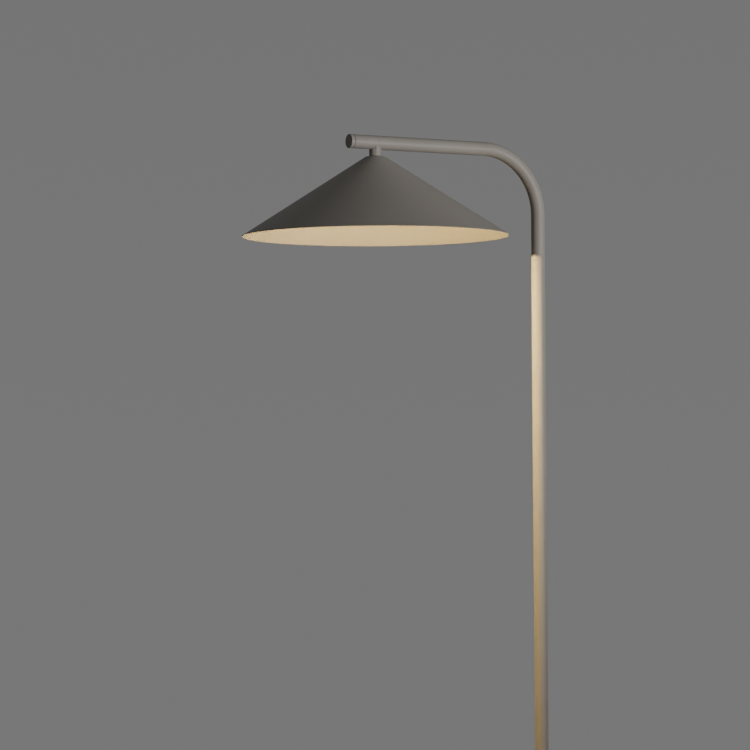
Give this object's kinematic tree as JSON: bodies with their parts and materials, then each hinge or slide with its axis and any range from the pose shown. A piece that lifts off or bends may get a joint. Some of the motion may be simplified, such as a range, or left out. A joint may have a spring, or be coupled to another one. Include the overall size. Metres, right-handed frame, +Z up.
{
  "type": "floor lamp",
  "caption": "Floor lamp: a shallow conical shade on a tilting ball joint under the level arm of a bent round tube, on a flat round base, with a push-button dimmer in the arm's end.",
  "frame": {"origin": "centre of the foam pad's underside, on the pole's axis, where the lamp meets the floor", "axes": "+Z up the pole; the arm runs from the pole towards -X"},
  "size_m": [0.606, 0.38, 1.4],
  "materials": {
    "shade_paint": "fine matt powder coat, warm grey",
    "stand_paint": "fine matt powder coat, warm grey",
    "stem_paint": "fine matt powder coat, warm grey",
    "base_paint": "fine matt powder coat, warm grey",
    "button_paint": "fine matt powder coat, warm grey",
    "white_paint": "matt warm white",
    "opal": "opal acrylic, lit warm white",
    "phosphor": "silicone gel over the chips",
    "circuit_board": "white solder mask",
    "nylon": "natural white nylon",
    "black_plastic": "moulded, matt black",
    "lead_sheath": "smooth flexible sheath, black",
    "foam": "closed-cell foam, black",
    "steel": "zinc plated",
    "aluminium": "machined",
    "brass": "machined"
  },
  "bodies": {
    "stand": {"base_pad": "foam", "base_plate": "base_paint", "base_washer": "steel", "base_bolt": "steel", "pole_foot_insert": "steel", "pole_lower": "stand_paint", "cable_grommet": "black_plastic", "coupler_socket": "steel", "coupler_stud": "steel", "arm_tube": "stand_paint", "button_guide": "black_plastic", "switch_board": "circuit_board", "tact_switch": "black_plastic", "supply_lead": "lead_sheath", "lamp_lead": "lead_sheath", "stem": "stem_paint", "saddle_washer": "steel", "stem_nut": "brass"},
    "button": {"dimmer_button": "button_paint"},
    "swivel": {"ball_seat": "nylon"},
    "shade_head": {"shade": "shade_paint", "joint_socket": "aluminium", "pressure_cup": "nylon", "wave_washer": "steel", "clamp_ring": "brass", "heat_sink": "aluminium", "heat_sink_screw_1": "steel", "heat_sink_screw_2": "steel", "heat_sink_screw_3": "steel", "led_board": "circuit_board", "led_chip": "phosphor", "reflector": "nylon", "diffuser": "opal", "lamp_cover": "white_paint", "cover_screw_1": "steel", "cover_screw_2": "steel", "cover_screw_3": "steel", "led_lead": "lead_sheath"}
  },
  "joints": [
    {"name": "shade_swivel", "type": "hinge", "parent": "stand", "child": "swivel", "pos_m": [-0.276, 0, 1.361], "axis": [0, 0, 1], "range_deg": [-170, 170]},
    {"name": "shade_tilt", "type": "hinge", "parent": "swivel", "child": "shade_head", "pos_m": [-0.276, 0, 1.361], "axis": [0, 1, 0], "range_deg": [-10, 10]},
    {"name": "button_press", "type": "slide", "parent": "stand", "child": "button", "axis": [1, 0, 0], "range_m": [0, 0.0004], "stiffness_N_per_m": 1500, "springref_m": -0.0006}
  ]
}
